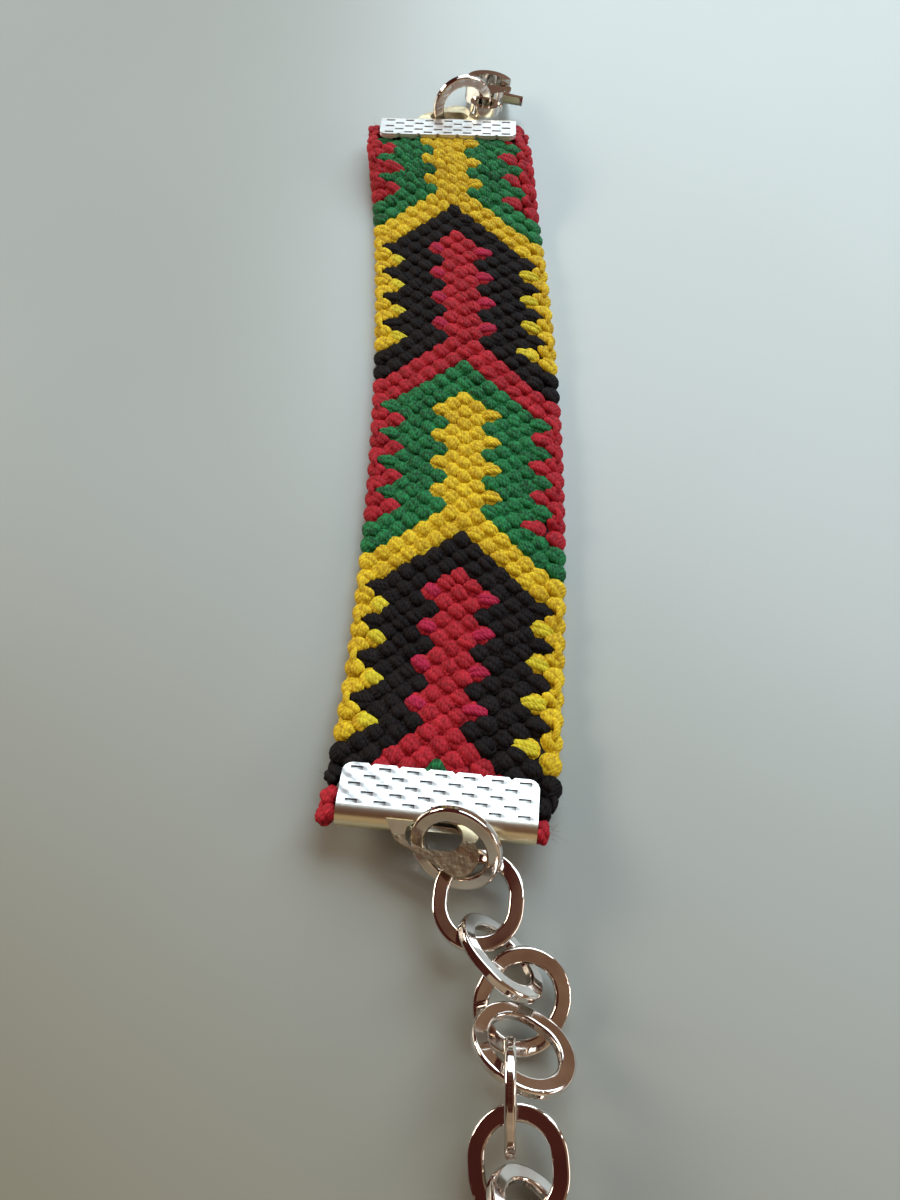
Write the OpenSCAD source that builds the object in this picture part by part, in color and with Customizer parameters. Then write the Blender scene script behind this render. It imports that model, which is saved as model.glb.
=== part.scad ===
// Friendship bracelet laid open on a table: a knotted cotton band, a folded ribbon crimp on
// each end, an extender chain of flattened oval links, and a lobster clasp on a jump ring.
// X runs across the band, +Y points at the clasp, Z is up from the table. Millimetres.

/* [Band] */
// Width of the knotted band
band_w = 19; // [17.5:0.5:22]
// Length of band between the mouths of the two crimps
band_len = 77; // [60:1:100]
// Thickness along the middle of the band
band_t = 2; // [1.8:0.1:2.6]
// How much thinner the band is beside its rims
rim_drop = 0.4; // [0.2:0.1:0.6]
// How far the middle of the band bows to the right
band_bow = 2; // [0:0.25:5]
// Turn of the knot rows at mid length, in degrees
row_turn = -6; // [-10:1:10]
// Length over which the band comes down from a crimp to the table
lift_len = 11; // [8:1:16]

/* [Crimps] */
// Width of each crimp
crimp_w = 16; // [14:0.5:16.5]
// Depth of each crimp, from its fold to its mouth
crimp_d = 5; // [4.5:0.25:7]
// Outside thickness of a closed crimp
crimp_t = 2.4; // [2.2:0.1:3]
// Thickness of the crimp's sheet
sheet_t = 0.5; // [0.4:0.05:0.6]
// How far the mouth's teeth bite inwards
tooth_bite = 0.2; // [0.1:0.05:0.25]
// Number of teeth along one mouth
tooth_n = 7; // [5:1:9]
// Depth of the waffle dents
dent_depth = 0.12; // [0.08:0.02:0.16]
// Rows of waffle dents on one face
dent_rows = 5; // [3:1:5]
// Length of the loop tab beyond the fold
tab_len = 3.4; // [3.2:0.1:4]
// Thickness of the loop tab
tab_t = 0.8; // [0.6:0.1:0.9]
// Height of the chain end's fold above the table
near_fold_z = 3.1; // [3:0.1:3.4]
// Height of the clasp end's fold above the table
far_fold_z = 1.9; // [1.8:0.1:2.1]

/* [Rings and chain] */
// Outside diameter of the jump ring on the chain end
near_ring_d = 7.5; // [7.3:0.1:7.7]
// Outside diameter of the jump ring on the clasp end
far_ring_d = 7.2; // [7:0.1:7.4]
// Width of the flattened ring wire
ring_wire_w = 1.2; // [1.05:0.05:1.25]
// Thickness of the flattened ring wire
ring_wire_t = 0.8; // [0.75:0.05:0.95]
// Outside length of a chain link
link_len = 7.9; // [7.8:0.1:8.1]
// Outside width of a chain link
link_w = 7.1; // [7:0.1:7.3]
// Width of the flattened link wire
wire_w = 1.25; // [1.1:0.05:1.3]
// Thickness of the flattened link wire
wire_t = 0.8; // [0.8:0.05:1.05]

/* [Clasp] */
// Thickness of the clasp's body
clasp_t = 2.4; // [2.2:0.1:3]
// Outside radius of the clasp's hook
hook_r = 2.8; // [2.6:0.1:3]
// Width of the hook's metal
hook_w = 1.15; // [1:0.05:1.25]
// Distance from the clasp's eye to the centre of its hook
clasp_reach = 5; // [4.9:0.1:5.6]
// Thickness of the lever
lever_t = 0.9; // [0.7:0.05:1]
// Radius of the lever's pin
pin_r = 0.4; // [0.35:0.05:0.45]
// Length of the thumb tab beyond the hook
thumb_len = 1.6; // [1:0.1:2]

/* [Clearances] */
// Gap between the band and the crimps
cloth_gap = 0.1; // [0.05:0.05:0.15]
// Running gap beside the lever
lever_gap = 0.1; // [0.08:0.02:0.14]
// Radial gap round the lever's pin
pin_gap = 0.05; // [0.03:0.01:0.08]

/* [Hidden] */
$fn = 48;

silver = "silver";
cotton = "firebrick";

// Places of the two crimps: the middle of the mouth, the turn and the tilt of each.
near_turn = -6;
near_tilt = -12;
far_turn = -2;
far_tilt = 12;
near_mouth_x = -0.7;
far_mouth_x = -0.3;
fold_r = crimp_t / 2;
gap_half = fold_r - sheet_t;
squeeze_half = gap_half - cloth_gap;
waist_half = gap_half - tooth_bite - cloth_gap;
near_mouth = [near_mouth_x, -band_len / 2, near_fold_z + crimp_d * sin(near_tilt)];
far_mouth = [far_mouth_x, band_len / 2, far_fold_z + crimp_d * sin(far_tilt)];

// Turns a point by a tilt about X and then by a turn about Z.
function turned(p, tilt, turn) =
    let (y = p[1] * cos(tilt) - p[2] * sin(tilt))
    let (z = p[1] * sin(tilt) + p[2] * cos(tilt))
    [p[0] * cos(turn) - y * sin(turn), p[0] * sin(turn) + y * cos(turn), z];

near_fold = near_mouth - turned([0, crimp_d, 0], near_tilt, near_turn);
far_fold = far_mouth - turned([0, crimp_d, 0], far_tilt, 180 + far_turn);

// Band
// Stations along the band. share runs from 0 at the chain end's mouth to 1 at the clasp
// end's mouth, and inset is how far the station lies inside a crimp.
free_n = 34;
mouth_step = 0.9;
inset_steps = [crimp_d - fold_r - 0.1, crimp_d / 2, 0.8, 0.4, -0.05];
flange_reach = fold_r + 0.1;
share_step = mouth_step / band_len;
free_shares = [for (i = [0:free_n]) share_step + (1 - 2 * share_step) * i / free_n];
stations = concat(
    [for (d = inset_steps) [0, d]],
    [for (s = free_shares) [s, 0]],
    [for (i = [len(inset_steps) - 1:-1:0]) [1, inset_steps[i]]]
);
// Places across the band as shares of its half width. The cloth outside a crimp's sides
// keeps its full thickness, so two places stand on each side of that step.
side_in = (crimp_w / 2 + cloth_gap) / (band_w / 2);
side_out = side_in + 0.03;
across = [-1, -(1 + side_out) / 2, -side_out, -side_in, -0.6, -0.3, 0,
          0.3, 0.6, side_in, side_out, (1 + side_out) / 2, 1];

function ease(t) = let (c = max(0, min(1, t))) c * c * (3 - 2 * c);
function near_part(s) = ease(1 - s * band_len / lift_len);
function far_part(s) = ease(1 - (1 - s) * band_len / lift_len);
function crown_half(u) = (band_t - rim_drop * u * u) / 2;
function rim_half(u) = abs(u) > 0.999 ? 0.25 * band_t : crown_half(u);
function mid_x(s) = near_mouth_x + (far_mouth_x - near_mouth_x) * s + band_bow * 4 * s * (1 - s);
function mid_z(s) =
    let (rest = band_t / 2)
    rest + (near_mouth[2] - rest) * near_part(s) + (far_mouth[2] - rest) * far_part(s);
function row_turn_at(s) =
    row_turn + (near_turn - row_turn) * near_part(s) + (far_turn - row_turn) * far_part(s);
function row_tilt_at(s) = near_tilt * near_part(s) - far_tilt * far_part(s);
function free_station(s) = s > 0 && s < 1;
function pinched(u) = abs(u) <= side_in + 0.001;
function half_at(st, u) =
    free_station(st[0]) || !pinched(u) ? rim_half(u) : (st[1] < 0.5 ? waist_half : squeeze_half);
// A point of the band: side is 1 for the face that shows and -1 for the back. The table holds
// the back flat, so the crown is on the face alone.
function band_point(st, u, side) =
    let (s = st[0])
    let (half = half_at(st, u))
    let (sag = (band_t / 2 - rim_half(u)) * (free_station(s) ? 1 : 0))
    let (z = side * half - sag)
    let (reach = pinched(u) || st[1] < inset_steps[0] ? st[1] : crimp_d - flange_reach)
    s == 0 ? near_mouth + turned([u * band_w / 2, -reach, z], near_tilt, near_turn)
    : s == 1 ? far_mouth + turned([u * band_w / 2, reach, z], -far_tilt, far_turn)
    : [mid_x(s), (s - 0.5) * band_len, mid_z(s)]
      + turned([u * band_w / 2, 0, z], row_tilt_at(s), row_turn_at(s));

// A closed skin from a grid of top points and a grid of bottom points.
module slab(top, bottom) {
    rows = len(top);
    cols = len(top[0]);
    n = rows * cols;
    points = concat([for (r = top) each r], [for (r = bottom) each r]);
    quads = [
        for (i = [0:rows - 2], j = [0:cols - 2]) let (a = i * cols + j)
            each [[a, a + cols, a + cols + 1, a + 1], [n + a, n + a + 1, n + a + cols + 1, n + a + cols]]
    ];
    sides = [
        for (i = [0:rows - 2]) let (a = i * cols, b = i * cols + cols - 1)
            each [[a, n + a, n + a + cols, a + cols], [b, b + cols, n + b + cols, n + b]]
    ];
    ends = [
        for (j = [0:cols - 2]) let (a = j, b = (rows - 1) * cols + j)
            each [[a, a + 1, n + a + 1, n + a], [b, n + b, n + b + 1, b + 1]]
    ];
    faces = [for (q = concat(quads, sides, ends)) each [[q[0], q[1], q[2]], [q[0], q[2], q[3]]]];
    polyhedron(points, faces);
}

module band() {
    top = [for (st = stations) [for (u = across) band_point(st, u, 1)]];
    bottom = [for (st = stations) [for (u = across) band_point(st, u, -1)]];
    color(cotton) slab(top, bottom);
}

// Crimps
// Each crimp is one folded sheet with a toothed mouth, waffle dents and a loop tab. In its
// own frame the fold's front is at y = 0 and the mouth is at y = crimp_d.
tooth_pitch = crimp_w / tooth_n;
corner_r = 0.9;
tab_base = 3.9;
tab_rise = 0.5;
tab_root = 0.5;
tab_end_r = 1.6;
near_tab_skew = 2;
far_tab_skew = -0.8;
near_tab_droop = 14;
far_tab_droop = 0;
tab_shoulder_w = 0.9;
tab_shoulder_y = -1.1;
loop_hole_r = 1.15;
loop_hole_half = 1.1;
loop_hole_y = -0.45;
dent_w = 1;
dent_l = 0.36;
dent_margin = 0.3;
mouth_margin = 0.5;
tooth_half_w = 0.6;
tooth_l = 0.4;
tooth_root = 0.1;
notch_w = 0.36;

module fold_profile() {
    difference() {
        union() {
            translate([fold_r, 0]) circle(fold_r);
            translate([fold_r, -fold_r]) square([crimp_d - fold_r, crimp_t]);
        }
        translate([fold_r, 0]) circle(gap_half);
        translate([fold_r, -gap_half]) square([crimp_d, 2 * gap_half]);
    }
}

module crimp_plan() {
    half = crimp_w / 2;
    difference() {
        union() {
            translate([-half, -1]) square([crimp_w, crimp_d + 1 - corner_r]);
            translate([-half + corner_r, -1]) square([crimp_w - 2 * corner_r, crimp_d + 1]);
            for (s = [-1, 1]) translate([s * (half - corner_r), crimp_d - corner_r]) circle(corner_r);
        }
        for (i = [1:tooth_n - 1])
            translate([-half + i * tooth_pitch, crimp_d]) rotate(45) square(notch_w, center = true);
    }
}

module crimp_teeth() {
    for (i = [0:tooth_n - 1], side = [0, 1])
        translate([-crimp_w / 2 + (i + 0.5) * tooth_pitch, crimp_d, 0])
            rotate([90, side * 180, 0])
                linear_extrude(tooth_l)
                    polygon([[-tooth_half_w, gap_half + tooth_root], [tooth_half_w, gap_half + tooth_root],
                             [tooth_half_w, gap_half], [0, gap_half - tooth_bite],
                             [-tooth_half_w, gap_half]]);
}

module waffle_dents() {
    first = fold_r + dent_margin;
    step = (crimp_d - first - mouth_margin) / (dent_rows - 1);
    for (r = [0:dent_rows - 1], side = [-1, 1]) {
        odd = r % 2;
        for (i = [0:tooth_n - 1 - odd])
            translate([-crimp_w / 2 + (i + 0.5 + odd / 2) * tooth_pitch, first + r * step, side * fold_r])
                cube([dent_w, dent_l, 2 * dent_depth], center = true);
    }
}

// Bends the tab and its slot down from the fold.
module drooped(droop) {
    translate([0, 0, tab_rise]) rotate([droop, 0, 0]) translate([0, 0, -tab_rise]) children();
}

// The tab's round end lies skew to the side of the crimp's middle. The shape is drawn for an end
// to the right, and mirrored for one to the left.
module loop_tab(skew) {
    end_y = -tab_len + tab_end_r;
    shoulder_x = tab_base - tab_shoulder_w;
    side = abs(skew);
    translate([0, 0, tab_rise - tab_t / 2]) linear_extrude(tab_t) mirror([skew < 0 ? 1 : 0, 0]) {
        translate([side, end_y]) circle(tab_end_r);
        polygon([[-tab_base, tab_root], [-shoulder_x, tab_shoulder_y],
                 [side - 0.8 * tab_end_r, end_y - 0.6 * tab_end_r],
                 [side + tab_end_r, end_y], [shoulder_x, tab_shoulder_y], [tab_base, tab_root]]);
    }
}

module loop_hole() {
    linear_extrude(3 * tab_t, center = true) {
        for (s = [-1, 1]) translate([s * loop_hole_half, loop_hole_y]) circle(loop_hole_r);
        translate([0, loop_hole_y]) square([2 * loop_hole_half, 2 * loop_hole_r], center = true);
    }
}

module crimp(skew, droop) {
    difference() {
        union() {
            intersection() {
                rotate([90, 0, 90]) linear_extrude(crimp_w, center = true) fold_profile();
                linear_extrude(2 * crimp_t, center = true) crimp_plan();
            }
            drooped(droop) loop_tab(skew);
            crimp_teeth();
        }
        waffle_dents();
        drooped(droop) loop_hole();
    }
}

module crimp_near() {
    color(silver) translate(near_fold) rotate([near_tilt, 0, near_turn])
        crimp(near_tab_skew, near_tab_droop);
}

module crimp_far() {
    color(silver) translate(far_fold) rotate([far_tilt, 0, 180 + far_turn])
        crimp(far_tab_skew, far_tab_droop);
}

// Rings and links
// Section of the flattened wire, with its corners rounded.
wire_corner_r = 0.24;

module flat_wire(w, t) {
    x = w / 2 - wire_corner_r;
    z = t / 2 - wire_corner_r;
    square([w, 2 * z], center = true);
    square([2 * x, t], center = true);
    for (a = [-1, 1], b = [-1, 1]) translate([a * x, b * z]) circle(wire_corner_r);
}

module oval_link(length, width, w, t) {
    r = (width - w) / 2;
    run = length - width;
    for (s = [0, 1])
        rotate([0, 0, s * 180]) {
            translate([0, run / 2, 0]) rotate_extrude(angle = 180) translate([r, 0]) flat_wire(w, t);
            translate([r, 0, 0]) rotate([90, 0, 0]) linear_extrude(run, center = true) flat_wire(w, t);
        }
}

// A ring or link laid in place: lean is about its own long axis, pitch about X, turn about Z.
module laid(place, turn, pitch, lean) {
    translate(place) rotate([0, 0, turn]) rotate([pitch, 0, 0]) rotate([0, lean, 0]) children();
}

module jump_ring(d) {
    rotate_extrude() translate([(d - ring_wire_w) / 2, 0]) flat_wire(ring_wire_w, ring_wire_t);
}

module jump_ring_near() {
    color(silver) laid(near_fold + [1.68, -1.31, 0.67], -10, 54, -12) jump_ring(near_ring_d);
}

module jump_ring_far() {
    color(silver) laid(far_fold + [1.6, 1.3, 1.8], 19, 87, 0) jump_ring(far_ring_d);
}

// How each link lies, from the chain end's fold. across, along and up are shares of a link's
// length, and turn, pitch and lean are in degrees.
link_rows = [
    // across, along, up, turn, pitch, lean
    [0.43, -0.63, 0.32,  -7,  -2,   0],
    [0.63, -1.17, 0.40,  43,   2,  57],
    [0.83, -1.53, 0.18, -29,  11,  12],
    [0.81, -1.96, 0.47,  56,  -4,  39],
    [0.68, -2.35, 0.50,   1,  43,  86],
    [0.75, -2.88, 0.25,   3,   7,  -6],
    [0.88, -3.28, 0.38,  46,   0,  53],
    [0.97, -3.95, 0.19,  -3, -12, -10],
    [1.05, -4.45, 0.37,  10,   0,  50],
    [1.10, -5.08, 0.35,   0,   0, -41],
    [1.15, -5.71, 0.37,   0,   0,  50],
    [1.20, -6.34, 0.35,   0,   0, -41]
];

module chain_link(i) {
    row = link_rows[i - 1];
    place = [near_fold[0] + row[0] * link_len, near_fold[1] + row[1] * link_len, row[2] * link_len];
    color(silver) laid(place, row[3], row[4], row[5]) oval_link(link_len, link_w, wire_w, wire_t);
}

// Clasp
// In the clasp's own frame the eye is at the origin, the hook points along +Y and the lever
// is on the +X side. The body is slotted for the lever, and the pin is part of the body.
eye_r = 1.75;
eye_hole_r = 1.05;
eye_t = 1;
pivot = [1, clasp_reach - 2.3];
pivot_boss_r = 1.1;
lever_root_r = 0.8;
slot_t = lever_t + 2 * lever_gap;
slot_top = 1.5;
nose_angle = 24;
nose_gap_angle = 5;
heel_angle = -62;
neck_half = 0.9;
neck_y = 1.2;
thumb_low = 0.3;
thumb_w = 0.6;
clasp_place = far_fold + [4.3, 1.95, 1.15];
clasp_turn = -7;
clasp_pitch = -13;
clasp_lean = 5;

// The part of the hook's ring between two angles less than 180 degrees apart.
module ring_sector(from, to) {
    reach = 3 * hook_r;
    middle = (from + to) / 2;
    intersection() {
        difference() {
            circle(hook_r);
            circle(hook_r - hook_w);
        }
        polygon([[0, 0], reach * [cos(from), sin(from)], reach * [cos(middle), sin(middle)],
                 reach * [cos(to), sin(to)]]);
    }
}

module hook_outline() {
    translate([0, clasp_reach]) {
        ring_sector(nose_angle, 130);
        ring_sector(129, 235);
    }
    translate(pivot) circle(pivot_boss_r);
    // neck between the eye and the hook
    polygon([[-0.8 * hook_r, clasp_reach - 0.58 * hook_r], [-neck_half - 0.4, neck_y + 0.8],
             [-neck_half, neck_y], [neck_half, neck_y], [neck_half + 0.5, neck_y + 0.6],
             pivot, [0.4, pivot[1] + neck_half], [-neck_half + 0.1, clasp_reach - hook_r + hook_w]]);
}

module clasp_frame() {
    difference() {
        union() {
            linear_extrude(clasp_t, center = true) hook_outline();
            linear_extrude(eye_t, center = true) circle(eye_r);
        }
        cylinder(h = 2 * clasp_t, r = eye_hole_r, center = true);
        // slot for the lever
        translate([pivot[0] - lever_root_r - lever_gap, pivot[1] - lever_root_r - lever_gap, -slot_t / 2])
            cube([3 * hook_r, lever_root_r + lever_gap + slot_top, slot_t]);
    }
    translate([pivot[0], pivot[1], 0]) cylinder(h = clasp_t, r = pin_r, center = true);
}

module lever_outline() {
    inner_r = hook_r - hook_w;
    translate(pivot) circle(lever_root_r);
    translate([0, clasp_reach]) ring_sector(heel_angle, nose_angle - nose_gap_angle);
    // heel that joins the pin's boss to the hook's ring
    polygon([[pivot[0] - 0.6, pivot[1] + 0.5], [pivot[0] + lever_root_r, pivot[1]],
             [hook_r * cos(-45), clasp_reach + hook_r * sin(-45)],
             [inner_r * cos(-60), clasp_reach + inner_r * sin(-60)]]);
    // thumb tab
    polygon([[pivot[0] + 0.6, pivot[1] + thumb_low], [hook_r + thumb_len, pivot[1] + thumb_low],
             [hook_r + thumb_len, pivot[1] + thumb_low + thumb_w],
             [pivot[0] + 1.2, pivot[1] + thumb_low + 1.5 * thumb_w]]);
}

module clasp_body() {
    color(silver) laid(clasp_place, clasp_turn, clasp_pitch, clasp_lean) clasp_frame();
}

module clasp_lever() {
    color(silver) laid(clasp_place, clasp_turn, clasp_pitch, clasp_lean)
        difference() {
            linear_extrude(lever_t, center = true) lever_outline();
            translate([pivot[0], pivot[1], 0]) cylinder(h = 2 * clasp_t, r = pin_r + pin_gap, center = true);
        }
}

band();
crimp_near();
crimp_far();
jump_ring_near();
jump_ring_far();
clasp_body();
clasp_lever();
for (i = [1:12]) {
    chain_link(i);
}
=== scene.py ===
# A friendship bracelet laid open on a pale table: a knotted cotton band, a folded ribbon crimp
# on each end, an extender chain and a lobster clasp. Sizes are in millimetres until a mesh is
# made, and Blender's metres come from MM.
import math
import random

import bpy
import numpy as np
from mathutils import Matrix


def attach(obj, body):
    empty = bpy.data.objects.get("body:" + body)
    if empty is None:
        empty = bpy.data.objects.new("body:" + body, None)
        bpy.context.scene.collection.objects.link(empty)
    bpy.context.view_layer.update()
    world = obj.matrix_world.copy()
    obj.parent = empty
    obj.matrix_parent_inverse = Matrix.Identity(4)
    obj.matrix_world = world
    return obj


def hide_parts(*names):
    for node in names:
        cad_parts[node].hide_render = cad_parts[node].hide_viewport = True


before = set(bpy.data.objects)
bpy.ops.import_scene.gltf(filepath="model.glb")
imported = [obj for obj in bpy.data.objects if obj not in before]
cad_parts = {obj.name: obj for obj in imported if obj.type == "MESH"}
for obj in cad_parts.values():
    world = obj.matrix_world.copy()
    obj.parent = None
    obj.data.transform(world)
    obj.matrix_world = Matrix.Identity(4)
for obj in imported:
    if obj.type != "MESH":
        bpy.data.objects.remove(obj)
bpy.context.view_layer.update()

# Knotted band
# The real band is sixteen lengths of six-strand cotton floss, knotted by hand in rows of double
# half hitches. Each row's knots sit between those of the row before, and the colour that shows
# is the floss that made the knot. The band bows a little to the right and rises to each crimp.
MM = 0.001
band_w = 19.0
band_len = 77.0
band_t = 2.0
crimp_w = 16.0
# The face falls off towards its rims by rim_drop, and the band bows to the right by band_bow.
rim_drop = 0.4
band_bow = 2.0
# Over the last lift_len the rows take the turn, the tilt and the height of the crimp's mouth.
lift_len = 11.0
row_turn = -6.0
near_turn = -6.0
far_turn = -2.0
near_tilt = -12.0
far_tilt = 12.0
near_mouth = (-0.7, -38.5, 2.06)
far_mouth = (-0.3, 38.5, 2.94)


def ease(t):
    t = np.clip(t, 0.0, 1.0)
    return t * t * (3 - 2 * t)


def near_part(share):
    return ease(1 - share * band_len / lift_len)


def far_part(share):
    return ease(1 - (1 - share) * band_len / lift_len)


def on_band(across, run, height):
    """Places in the row frame, in metres. run is from the middle of the band's length, across
    from its middle line and height from the middle of its thickness."""
    share = np.clip(run / band_len + 0.5, 0.0, 1.0)
    beyond = run - (share - 0.5) * band_len
    near = near_part(share)
    far = far_part(share)
    tilt = np.radians(near_tilt * near - far_tilt * far)
    turn = np.radians(row_turn + (near_turn - row_turn) * near + (far_turn - row_turn) * far)
    bow = band_bow * 4 * share * (1 - share)
    mid_x = near_mouth[0] + (far_mouth[0] - near_mouth[0]) * share + bow
    rest = band_t / 2
    mid_z = rest + (near_mouth[2] - rest) * near + (far_mouth[2] - rest) * far
    y = beyond * np.cos(tilt) - height * np.sin(tilt)
    z = beyond * np.sin(tilt) + height * np.cos(tilt)
    return MM * np.stack([
        mid_x + across * np.cos(turn) - y * np.sin(turn),
        (share - 0.5) * band_len + across * np.sin(turn) + y * np.cos(turn),
        mid_z + z,
    ], -1)


# The face and the back round off towards the rims, from rim_start outwards.
rim_start = 7.9
rim_round = 1.6
rim_past = 1.2
face_round = 0.75
back_round = 0.35


def rim_share(across):
    """How far a place lies into the round of the rim: 0 where it starts, 1 after rim_round."""
    return np.clip((np.abs(across) - rim_start) / rim_round, 0.0, rim_past)


def face_height(across):
    """Height of the knotted face over the middle of the band's thickness."""
    crown = rim_drop * (across / (band_w / 2)) ** 2
    return band_t / 2 - crown - face_round * rim_share(across) ** 2


def back_height(across):
    """Height of the knotted back, which lies below that middle."""
    return -band_t / 2 + back_round * rim_share(across) ** 2


# Inside a crimp the band is pressed to a part of its thickness, from just before the mouth.
bite_ahead = 0.15
bite_len = 0.35
bite_depth = 0.62
bite_aside = 0.1


def squeeze(run, across):
    """How much of its thickness the band keeps: less inside a crimp, all of it elsewhere."""
    inside = np.abs(run) - (band_len / 2 - bite_ahead)
    under = np.abs(across) < crimp_w / 2 + bite_aside
    return np.where(under, 1 - bite_depth * ease(inside / bite_len), 1.0)


# The chart of the pattern. Rows are counted from the far crimp to the near one, and 24 rows make
# one segment, which starts with a chevron of two lines of knots. Columns run from -7 to 7.
segment_rows = 24
segments = [
    {"field": "green", "spine": "yellow", "edge": "red"},
    {"field": "black", "spine": "red", "edge": "yellow"},
    {"field": "green", "spine": "yellow", "edge": "red"},
    {"field": "black", "spine": "red", "edge": "yellow"},
    {"field": "green", "spine": "yellow", "edge": "red"},
]
# Where rows lie along the band, each row with its place: on its middle line, and near its rims.
middle_rows = [(12, 39.1), (16, 36.6), (24, 31.5), (28, 28.9), (32, 24.7), (48, 9.9), (56, 1.4),
               (72, -11.3), (80, -19.2), (96, -33.9), (100, -38.2), (104, -41.8)]
rim_rows = [(7, 42.7), (12, 39.3), (16, 36.5), (24, 31.0), (30, 25.7), (55, 2.1), (79, -18.7),
            (84, -23.3), (88, -26.6), (92, -30.5), (96, -34.8), (103, -41.7), (105, -43.2)]
rim_column = 6
row_slope = -0.071
# Where columns lie across it, from the middle one outwards. The last one on the right stands out.
column_places = [0, 1.2, 2.45, 3.7, 4.9, 6.0, 7.15, 8.45]
last_column = 7
right_rim_out = 0.28
# Towards the near crimp the middle columns drift to the left.
drift_columns = 4
drift_start = -18
drift_len = 16
drift = -0.45


def row_place(row, column):
    """Where a knot lies on the flattened band: across it, and along it."""
    across = math.copysign(column_places[abs(column)], column)
    if column == last_column:
        across += right_rim_out
    middle = np.interp(row, *zip(*middle_rows))
    rim = np.interp(row, *zip(*rim_rows))
    share = min(1.0, abs(column) / rim_column)
    run = middle + (rim - middle) * share + row_slope * across
    if abs(column) < drift_columns:
        across += drift * float(ease((drift_start - run) / drift_len))
    return across, float(run)


def knot_colour(row, column):
    """The colour of a knot, and whether it is the point of a tooth or of the notch between two."""
    segment, k = divmod(row, segment_rows)
    side = abs(column)
    if k < side:
        segment, k = segment - 1, k + segment_rows
    colours = segments[segment]
    if k in (side, side + 2):
        return colours["edge"], None
    if k >= 8 and side <= 1:
        return colours["spine"], None
    if side == 2 and k >= 8 and k % 4 == 2 and k < 24:
        return colours["spine"], "spine"
    if side == 7 and k <= 25:
        return colours["edge"], None
    if side == 6 and k % 4 == 0 and k <= 24:
        return colours["edge"], "edge"
    if side == 6 and k >= 8 and k < 24:
        return colours["field"], "notch"
    return colours["field"], None


# The rows run on a little into the crimps. The outermost knots pass beside them, spread outwards.
first_row = 7
last_row = 105
under_crimp_len = 0.5
beside_crimp_len = 4.3
beside_crimp = 8.85
spread_ahead = 0.9
spread_len = 0.8
dice = random.Random(41)
knots = []
for row in range(first_row, last_row + 1):
    for column in range(-last_column, last_column + 1):
        if (row + column) % 2:
            continue
        across, run = row_place(row, column)
        beside = abs(column) == last_column
        if abs(run) > band_len / 2 + (beside_crimp_len if beside else under_crimp_len):
            continue
        if beside:
            out = math.copysign(beside_crimp, column)
            spread = ease((abs(run) - band_len / 2 + spread_ahead) / spread_len)
            across += (out - across) * float(spread)
        colour, tip = knot_colour(row, column)
        knots.append({"row": row, "column": column, "across": across, "run": run,
                      "colour": colour, "tip": tip})
knot_at = {(knot["row"], knot["column"]): knot for knot in knots}


class Floss:
    """Lengths of floss of one colour, gathered and then made into one mesh."""

    def __init__(self):
        self.points = []
        self.threads = []
        self.faces = []
        self.count = 0

    def lay(self, line, radius, sides, tone, flat=1.0):
        """Adds one closed length along line, in millimetres of the flattened band. Each point
        keeps its share of the way round, its millimetres along and the length's tone."""
        line = np.asarray(line, float)
        radius = np.asarray(radius, float)[:, None, None]
        ahead = np.gradient(line, axis=0)
        ahead /= np.linalg.norm(ahead, axis=1, keepdims=True)
        side = np.cross(ahead, (0.0, 0.0, 1.0))
        side /= np.maximum(np.linalg.norm(side, axis=1, keepdims=True), 1e-6)
        over = np.cross(side, ahead)
        angle = 2 * math.pi * np.arange(sides) / sides - math.pi / 2
        ring = (np.cos(angle)[None, :, None] * side[:, None, :]
                + flat * np.sin(angle)[None, :, None] * over[:, None, :])
        points = line[:, None, :] + radius * ring
        steps = len(line)
        along = np.concatenate([[0.0], np.cumsum(np.linalg.norm(np.diff(line, axis=0), axis=1))])
        thread = np.zeros((steps, sides, 3))
        thread[:, :, 0] = np.arange(sides)[None, :] / sides
        thread[:, :, 1] = along[:, None]
        thread[:, :, 2] = tone
        start = self.count + np.arange(steps - 1)[:, None] * sides
        low = start + np.arange(sides)[None, :]
        next_low = start + (np.arange(sides)[None, :] + 1) % sides
        corners = np.stack([low, next_low, next_low + sides, low + sides], -1)
        self.faces += corners.reshape(-1, 4).tolist()
        self.faces.append([self.count + i for i in range(sides)][::-1])
        self.faces.append([self.count + (steps - 1) * sides + i for i in range(sides)])
        self.points.append(points.reshape(-1, 3))
        self.threads.append(thread.reshape(-1, 3))
        self.count += steps * sides

    def mesh(self, name):
        """Makes the mesh, bent from the flattened band to the place of the real one."""
        flat = np.concatenate(self.points)
        data = bpy.data.meshes.new(name)
        data.from_pydata(on_band(flat[:, 0], flat[:, 1], flat[:, 2]).tolist(), [], self.faces)
        thread = data.attributes.new("thread", "FLOAT_VECTOR", "POINT")
        thread.data.foreach_set("vector", np.concatenate(self.threads).astype(np.float32).ravel())
        data.polygons.foreach_set("use_smooth", [True] * len(data.polygons))
        data.update()
        made = bpy.data.objects.new(name, data)
        bpy.context.scene.collection.objects.link(made)
        return made


# Knots of one colour make one mesh on the face and one on the back. In a black field the points of
# the red spine are painted a cooler red, and the points of the yellow teeth a greener yellow, as a
# painted shading tint.
floss = {name: Floss() for name in ("red", "green", "yellow", "black", "cool_red", "lime_yellow")}
back_floss = {name: Floss() for name in ("red", "green", "yellow", "black")}

# A knot shows two turns of floss, pulled so tight that they make one bead with a groove. The
# groove leans down to the right, steeply in the left half of the band and gently in the right
# half. The points of the teeth are drawn out longer than the other knots. On the right edge each
# is moved, outwards where the number is above 0, by its row in the segment.
right_point_out = {12: 0.5, 16: 0.25, 20: 0.05, 0: -0.6}


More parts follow.
